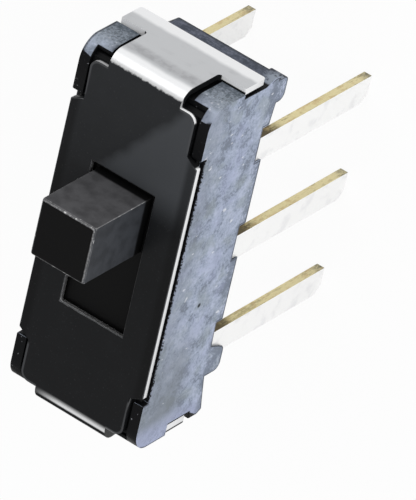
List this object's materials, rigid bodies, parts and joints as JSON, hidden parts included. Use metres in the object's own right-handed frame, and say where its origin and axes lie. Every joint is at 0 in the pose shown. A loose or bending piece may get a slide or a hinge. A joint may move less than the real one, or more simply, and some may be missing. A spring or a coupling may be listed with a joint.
{
  "type": "slide switch",
  "caption": "Miniature through-hole slide switch with a sheet-metal cover folded over a moulded housing and a square knob that slides between two positions.",
  "frame": {"origin": "centre of the pin pattern on the board's face, on which the feet stand", "axes": "+X along the body, +Z out of the board towards the knob, +Y across the body, away from the front row of terminals"},
  "size_m": [0.009, 0.0034, 0.0083],
  "materials": {
    "housing_moulding": "matte",
    "cover_sheet": "bright nickel plate with a black front",
    "knob_moulding": "satin",
    "contact_strip": "bright",
    "terminal_blade": "tin plate"
  },
  "bodies": {
    "base": {"housing": "housing_moulding", "cover": "cover_sheet", "front_terminal_1": "terminal_blade", "front_terminal_2": "terminal_blade", "front_terminal_3": "terminal_blade", "rear_terminal_1": "terminal_blade", "rear_terminal_2": "terminal_blade", "rear_terminal_3": "terminal_blade"},
    "actuator": {"slider": "knob_moulding", "front_spring_contact": "contact_strip", "rear_spring_contact": "contact_strip"}
  },
  "joints": [
    {"name": "knob_slide", "type": "slide", "parent": "base", "child": "actuator", "axis": [1, 0, 0], "range_m": [-0.0019, 0]}
  ]
}
